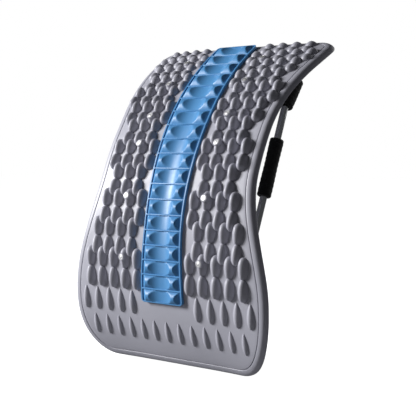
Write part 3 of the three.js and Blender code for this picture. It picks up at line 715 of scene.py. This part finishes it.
def frame_points():
    rack, bracket = board_frame(RACK_MIDDLE, RACK_X), board_frame(PIVOT_AT, BRACKET_X)
    bar_at = NOTCH_START + NOTCH_OF_BAR * NOTCH_PITCH
    bar = rack @ Vector((0, bar_at - RACK_MIDDLE, -BAR_DEPTH))
    pivot = bracket @ Vector((0, 0, -PIVOT_DEPTH))
    bar.x = pivot.x = 0
    down = (pivot - bar).normalized()
    forward = Vector((0, down.z, -down.y))
    return bar, pivot, bar + down * KNEE_TO_BAR + forward * KNEE_FORWARD


BAR, PIVOT, KNEE = frame_points()
CAP_TO_BRACKET = 0.8
STUB_END = BRACKET_X - BRACKET_WIDTH / 2 - CAP_LENGTH - CAP_TO_BRACKET


def rounded_route(corners, radius, steps):
    route = [corners[0]]
    for before, corner, after in zip(corners, corners[1:], corners[2:]):
        back, on = (before - corner).normalized(), (after - corner).normalized()
        half = back.angle(on) / 2
        centre = corner + (back + on).normalized() * radius / math.sin(half)
        first = corner + back * radius / math.tan(half) - centre
        last = corner + on * radius / math.tan(half) - centre
        axis = first.cross(last).normalized()
        sweep = math.pi - 2 * half
        count = max(4, round(steps * sweep / (math.pi / 2)))
        route += [Matrix.Rotation(sweep * k / count, 3, axis) @ first + centre for k in range(count + 1)]
    return route + [corners[-1]]


def sweep(body, route, radius, sides=32):
    """A round tube along a route, its ring carried on from point to point so that it never twists."""
    rows = []
    normal = Vector((0, 0, 1))
    for i, here in enumerate(route):
        back = (here - route[i - 1]).normalized() if i else None
        on = (route[i + 1] - here).normalized() if i + 1 < len(route) else None
        tangent = ((back or on) + (on or back)).normalized()
        normal = (normal - tangent * normal.dot(tangent)).normalized()
        across = tangent.cross(normal)
        stretch = 1 / max(0.5, (back or on).dot(tangent))
        rows.append([here + (normal * y + across * x) * (stretch if i and i + 1 < len(route) else 1)
                     for x, y in circle(radius, sides)])
    body.grid(rows, closed=True, caps=True)


def frame_tube():
    tube = Body()
    left = [Vector((x, p.y, p.z)) for x, p in
            ((-STUB_END, PIVOT), (-LEG_X, PIVOT), (-LEG_X, KNEE), (-LEG_X, BAR))]
    right = [Vector((-p.x, p.y, p.z)) for p in reversed(left)]
    sweep(tube, rounded_route(left + right, BEND_RADIUS, 14), TUBE_RADIUS)
    return tube.piece("chrome_frame", "frame", "tube", CHROME, sharp=60)


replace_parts(frame_tube(), "frame_tube")


SLEEVE_CLEAR, SLEEVE_SOFT, SLEEVE_RING, SLEEVE_SIDES = 0.05, 1.5, 1.5, 40
SLEEVE_LIP = [(0, 0.6), (0.5, 0.12), (1.2, 0)]     # (out from the bore, in from the end)
WAVE, WAVE_TWIST, WAVE_RATE = 0.3, 0.5, 0.62       # how deep the foam's waves are, and how they run


def sleeve(side, start_point, end_point, start, length, name, node):
    """A foam tube pushed over a straight stretch of leg, with soft rims and a shallow wave."""
    along = (end_point - start_point).normalized()
    turn = along.to_track_quat("Z", "Y").to_matrix().to_4x4()
    begin = start_point + along * start
    matrix = Matrix.Translation(Vector((side * LEG_X, begin.y, begin.z))) @ turn
    inner, outer, soft = TUBE_RADIUS + SLEEVE_CLEAR, TUBE_RADIUS + SLEEVE_WALL, SLEEVE_SOFT
    profile = offsets(inner, 0, SLEEVE_LIP)
    profile += [(outer - soft + soft * math.sin(a), soft - soft * math.cos(a))
                for a in (math.pi / 2 * k / 6 for k in range(7))]
    body_steps = round((length - 2 * soft) / SLEEVE_RING)
    profile += [(outer, soft + (length - 2 * soft) * k / body_steps) for k in range(1, body_steps)]
    profile += [(outer - soft + soft * math.cos(a), length - soft + soft * math.sin(a))
                for a in (math.pi / 2 * k / 6 for k in range(7))]
    profile += [(inner + out, length - deep) for out, deep in reversed(SLEEVE_LIP)]
    rows = []
    for radius, height in profile:
        row = []
        for k in range(SLEEVE_SIDES):
            turn_at = 2 * math.pi * k / SLEEVE_SIDES
            wave = WAVE * math.sin(2 * turn_at + height * WAVE_TWIST) * math.sin(height * WAVE_RATE) - WAVE
            here = radius + (wave if radius > inner + 1 else 0)
            row.append(matrix @ Vector((here * math.cos(turn_at), here * math.sin(turn_at), height)))
        rows.append(row)
    foam = Body()
    foam.grid(rows + [rows[0]], closed=True)
    made = foam.piece(name, "frame", "foam", FOAM, sharp=60)
    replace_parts(made, node)


for side, word in SIDES:
    sleeve(side, PIVOT, KNEE, LOWER_SLEEVE_START, LOWER_SLEEVE_LENGTH,
           f"foam_grip_lower_{word}", f"foam_sleeve_lower_{word}")
    sleeve(side, KNEE, BAR, UPPER_SLEEVE_START, UPPER_SLEEVE_LENGTH,
           f"foam_grip_upper_{word}", f"foam_sleeve_upper_{word}")


# ---- brackets, caps, racks and screws -------------------------------------------------------------

def side_on(along, across):
    """A frame whose X runs up the board, Y out of its back and Z across it."""
    turn = Matrix(((0, 0, 1, 0), (1, 0, 0, 0), (0, -1, 0, 0), (0, 0, 0, 1)))
    return board_frame(along, across) @ turn


EYE_STEPS = 30
BRACKET_FILLET, FILLET_MIDDLE = 1.2, 0.35
BRACKET_EDGE, BRACKET_BEVEL, BORE_EDGE = 0.6, 0.2, 0.4


def pivot_bracket(side, word):
    bore = TUBE_RADIUS + RUNNING_GAP
    outer = bore + BRACKET_WALL
    base = PAD_FACE + GAP
    top = base + BRACKET_FLANGE
    half = BRACKET_LENGTH / 2
    eye = [(outer * math.cos(a), PIVOT_DEPTH + outer * math.sin(a))
           for a in (math.pi * k / EYE_STEPS for k in range(EYE_STEPS + 1))]
    foot = [(half, top), (outer + BRACKET_FILLET, top), (outer + FILLET_MIDDLE, top + FILLET_MIDDLE),
            (outer, top + BRACKET_FILLET)]
    outline = [(-half, base), (half, base)] + foot + eye + [(-x, y) for x, y in reversed(foot)]
    bracket = Body()
    matrix = side_on(PIVOT_AT, side * BRACKET_X)
    inner = []
    for x, y in outline:
        turn = math.atan2(y - PIVOT_DEPTH, x)
        inner.append((bore * math.cos(turn), PIVOT_DEPTH + bore * math.sin(turn)))
    width, edge, bevel, flare = BRACKET_WIDTH / 2, BRACKET_EDGE, BRACKET_BEVEL, BORE_EDGE
    rows = []
    for height, inset in [(-width, edge), (-width + bevel, bevel), (-width + edge, 0), (width - edge, 0),
                          (width - bevel, bevel), (width, edge)]:
        rows.append([matrix @ Vector((x, y, height)) for x, y in inset_outline(outline, inset)])
    for height, grow in [(width, flare), (width - flare, 0), (-width + flare, 0), (-width, flare)]:
        rows.append([matrix @ Vector((x + (x / bore) * grow, y + (y - PIVOT_DEPTH) / bore * grow, height))
                     for x, y in inner])
    bracket.grid(rows + [rows[0]], closed=True)
    made = bracket.piece(f"hinge_block_{word}", "board", "fitting", NYLON, sharp=30)
    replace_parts(made, f"pivot_bracket_{word}")


CAP_SOFT, CAP_RIM = 1.2, [(0, -0.5), (-0.15, -0.15), (-0.5, 0)]


def tube_cap(side, word):
    inner, outer = TUBE_RADIUS + GAP / 2, TUBE_RADIUS + GAP + CAP_WALL
    low = -CAP_WALL - GAP
    soft = CAP_SOFT
    profile = [(0, low), (outer - soft, low)]
    profile += [(outer - soft + soft * math.sin(a), low + soft - soft * math.cos(a))
                for a in (math.pi / 2 * k / 5 for k in range(1, 6))]
    profile += offsets(outer, CAP_LENGTH, CAP_RIM) + [(inner, CAP_LENGTH), (inner, -GAP), (0, -GAP)]
    cap = Body()
    turn = Matrix.Rotation(side * math.pi / 2, 4, "Y")
    lathe(cap, profile, Matrix.Translation(Vector((side * STUB_END, PIVOT.y, PIVOT.z))) @ turn, 40)
    made = cap.piece(f"end_cap_{word}", "frame", "fitting", NYLON, sharp=30)
    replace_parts(made, f"tube_cap_{word}")


SEAT_STEPS, TOOTH_LEAN, COMB_CORNER = 16, 0.6, 0.8


def comb_outline():
    """The rack from the side: along the board from its middle, and depth behind the front face."""
    out = Vector((math.sin(NOTCH_SLANT), math.cos(NOTCH_SLANT)))
    across = Vector((out.y, -out.x))
    radius = TUBE_RADIUS + RUNNING_GAP
    base = PAD_FACE + GAP
    first = NOTCH_START - RACK_MIDDLE
    last = first + (NOTCHES - 1) * NOTCH_PITCH
    lean = (RACK_TALL - BAR_DEPTH) * math.tan(NOTCH_SLANT)
    points = [Vector((first - RACK_TOOTH_END, base)),
              Vector((first - RACK_TOOTH_END + lean * TOOTH_LEAN, RACK_TALL))]
    for notch in range(NOTCHES):
        seat = Vector((first + notch * NOTCH_PITCH, BAR_DEPTH))

        def mouth(sign):
            edge = seat + across * sign * radius
            return edge + out * (RACK_TALL - edge.y) / out.y
        points.append(mouth(-1))
        for k in range(SEAT_STEPS + 1):
            turn = math.pi * k / SEAT_STEPS
            points.append(seat - across * math.cos(turn) * radius - out * math.sin(turn) * radius)
        points.append(mouth(1))
    points += [Vector((last + RACK_TOOTH_END + lean, RACK_TALL)), Vector((last + RACK_TOOTH_END, base))]
    return round_corners([(p.x, p.y) for p in points][::-1], COMB_CORNER)


LEAST_CORNER, CORNER_STEPS, CORNER_REACH = math.radians(25), 4, 2.2


def round_corners(outline, radius):
    """The outline with its sharp corners rounded off."""
    rounded = []
    count = len(outline)
    for i in range(count):
        here, back, on = (Vector(outline[k % count]) for k in (i, i - 1, i + 1))
        coming, going = here - back, on - here
        turn = abs(coming.angle_signed(going))
        reach = min(radius * math.tan(turn / 2), coming.length / CORNER_REACH, going.length / CORNER_REACH)
        if turn < LEAST_CORNER:
            rounded.append(here)
            continue
        start, end = here - coming.normalized() * reach, here + going.normalized() * reach
        for k in range(CORNER_STEPS + 1):
            t = k / CORNER_STEPS
            rounded.append(start * (1 - t) ** 2 + here * 2 * t * (1 - t) + end * t ** 2)
    return rounded


FLANGE_CORNER = 3


def notch_rack(side, word):
    rack = Body()
    matrix = side_on(RACK_MIDDLE, side * RACK_X)
    extrude(rack, comb_outline(), RACK_WIDTH, matrix)
    base = PAD_FACE + GAP
    lift = Matrix.Translation((0, 0, -base - RACK_FLANGE / 2))
    flange = rounded_box(RACK_FLANGE_WIDTH, RACK_LENGTH, FLANGE_CORNER)
    extrude(rack, flange, RACK_FLANGE, board_frame(RACK_MIDDLE, side * RACK_X) @ lift)
    made = rack.piece(f"height_rack_{word}", "board", "fitting", NYLON, sharp=30)
    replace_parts(made, f"notch_rack_{word}")


SCREW_SHANK, SCREW_BRIM, SCREW_TURN = 7, 0.5, 0.4
CROSS_HALF_LENGTH, CROSS_HALF_WIDTH, CROSS_DEPTH, CROSS_EDGE = 1.6, 0.3, 1.8, 0.05


def screw(name, node, along, offset, across, flange):
    """Pan-head screw with a cross recess, cut and then kept as plain mesh."""
    seat = PAD_FACE + GAP + flange + GAP
    place = board_frame(along, across) @ Matrix.Translation((0, offset, -seat))
    matrix = place @ Matrix.Rotation(math.pi, 4, "X")
    head = Body()
    dome = [(0, -SCREW_SHANK), (SCREW_RADIUS, -SCREW_SHANK), (SCREW_RADIUS, 0),
            (SCREW_HEAD_RADIUS, 0), (SCREW_HEAD_RADIUS, SCREW_BRIM)]
    dome += [(SCREW_HEAD_RADIUS * math.cos(a), SCREW_BRIM + (SCREW_HEAD - SCREW_BRIM) * math.sin(a))
             for a in (math.pi / 2 * k / 6 for k in range(1, 6))]
    lathe(head, dome + [(0, SCREW_HEAD)], matrix, 32)
    made = head.piece(name, "board", "screw", ZINC, sharp=30)
    cross = Body()
    for turn in (0, math.pi / 2):
        blade = matrix @ Matrix.Translation((0, 0, SCREW_HEAD)) @ Matrix.Rotation(turn + SCREW_TURN, 4, "Z")
        x, y = CROSS_HALF_LENGTH, CROSS_HALF_WIDTH
        extrude(cross, [(-x, -y), (x, -y), (x, y), (-x, y)], CROSS_DEPTH, blade, CROSS_EDGE)
    cutter = cross.piece(name + "_cut", "board", "screw", ZINC)
    cut = made.modifiers.new("cross", "BOOLEAN")
    cut.operation, cut.solver, cut.object, cut.use_self = "DIFFERENCE", "EXACT", cutter, True
    graph = bpy.context.evaluated_depsgraph_get()
    finished = bpy.data.meshes.new_from_object(made.evaluated_get(graph))
    made.modifiers.clear()
    made.data = finished
    bpy.data.objects.remove(cutter)
    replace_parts(made, node)


for side, word in SIDES:
    pivot_bracket(side, word)
    tube_cap(side, word)
    notch_rack(side, word)
    for index, end in enumerate((-1, 1)):
        screw(f"hinge_screw_{word}_{index + 1}", f"bracket_screw_{word}_{index + 1}",
              PIVOT_AT, end * BRACKET_SCREW_PITCH / 2, side * BRACKET_X, BRACKET_FLANGE)
        screw(f"height_screw_{word}_{index + 1}", f"rack_screw_{word}_{index + 1}",
              RACK_MIDDLE, end * (RACK_LENGTH / 2 - SCREW_END), side * RACK_X, RACK_FLANGE)


# ---- studio ---------------------------------------------------------------------------------------

FLOOR_HALF, FLOOR_DROP = 6, 0.0005                 # metres
FLOOR_SHADE = (0.3, 0.3, 0.31, 1)
WORLD_COLOUR, WORLD_STRENGTH = (0.93, 0.95, 1, 1), 0.06

middle = (cad_low + cad_high) / 2


def studio_floor():
    """A pale floor that reads as white paper and throws little light back up."""
    z = cad_low.z - FLOOR_DROP
    mesh = bpy.data.meshes.new("studio_floor")
    ends = (-FLOOR_HALF, FLOOR_HALF)
    mesh.from_pydata([(x, y, z) for x in ends for y in ends], [], [(0, 2, 3, 1)])
    look = Look("studio_floor", Roughness=0.9, Emission_Color=(1, 1, 1, 1), Emission_Strength=0.97)
    look.ramp(look.noise(3, 2), 0.5, 0.54, "Base Color", 0.0, 1.0)
    dark = look.nodes.new("ShaderNodeBsdfDiffuse")
    dark.inputs["Color"].default_value = FLOOR_SHADE
    mix, path = look.nodes.new("ShaderNodeMixShader"), look.nodes.new("ShaderNodeLightPath")
    look.links.new(path.outputs["Is Camera Ray"], mix.inputs["Fac"])
    look.links.new(dark.outputs["BSDF"], mix.inputs[1])
    look.links.new(look.shader.outputs["BSDF"], mix.inputs[2])
    look.links.new(mix.outputs["Shader"], look.nodes["Material Output"].inputs["Surface"])
    mesh.materials.append(look.material)
    floor = bpy.data.objects.new("studio_floor", mesh)
    bpy.context.scene.collection.objects.link(floor)


def area_light(name, offset, size, power):
    """A rectangular light at an offset from the object's middle, facing it."""
    data = bpy.data.lights.new(name, "AREA")
    data.shape, data.size, data.size_y = "RECTANGLE", size[0], size[1]
    data.energy = power
    lamp = bpy.data.objects.new(name, data)
    lamp.location = middle + Vector(offset)
    lamp.rotation_mode = "QUATERNION"
    lamp.rotation_quaternion = (-Vector(offset)).to_track_quat("-Z", "Y")
    bpy.context.scene.collection.objects.link(lamp)


def studio_world(strength):
    """A dim room that the camera sees as white."""
    world = bpy.data.worlds.new("studio")
    world.use_nodes = True
    nodes, links = world.node_tree.nodes, world.node_tree.links
    room, seen = nodes["Background"], nodes.new("ShaderNodeBackground")
    mix = nodes.new("ShaderNodeMixShader")
    room.inputs["Color"].default_value = WORLD_COLOUR
    room.inputs["Strength"].default_value = strength
    seen.inputs["Color"].default_value = (1, 1, 1, 1)
    path = nodes.new("ShaderNodeLightPath")
    links.new(path.outputs["Is Camera Ray"], mix.inputs["Fac"])
    links.new(room.outputs["Background"], mix.inputs[1])
    links.new(seen.outputs["Background"], mix.inputs[2])
    links.new(mix.outputs["Shader"], nodes["World Output"].inputs["Surface"])
    bpy.context.scene.world = world


studio_floor()
studio_world(WORLD_STRENGTH)
area_light("key_softbox", (-1.27, -0.93, 0.6), (0.4, 0.65), 54)
area_light("back_card", (0.5, 1.3, 0.6), (0.8, 1.0), 5)

camera_data = bpy.data.cameras.new("camera")
camera_data.lens, camera_data.sensor_width = 78.27, 36.0
camera = bpy.data.objects.new("camera", camera_data)
camera.location = (0.5931, -0.7397, 0.2259)
camera.rotation_mode = "QUATERNION"
camera.rotation_quaternion = Vector((-0.5988, 0.79855, -0.06132)).to_track_quat("-Z", "Y")
bpy.context.scene.collection.objects.link(camera)
bpy.context.scene.camera = camera
bpy.context.scene.view_settings.view_transform = "Standard"
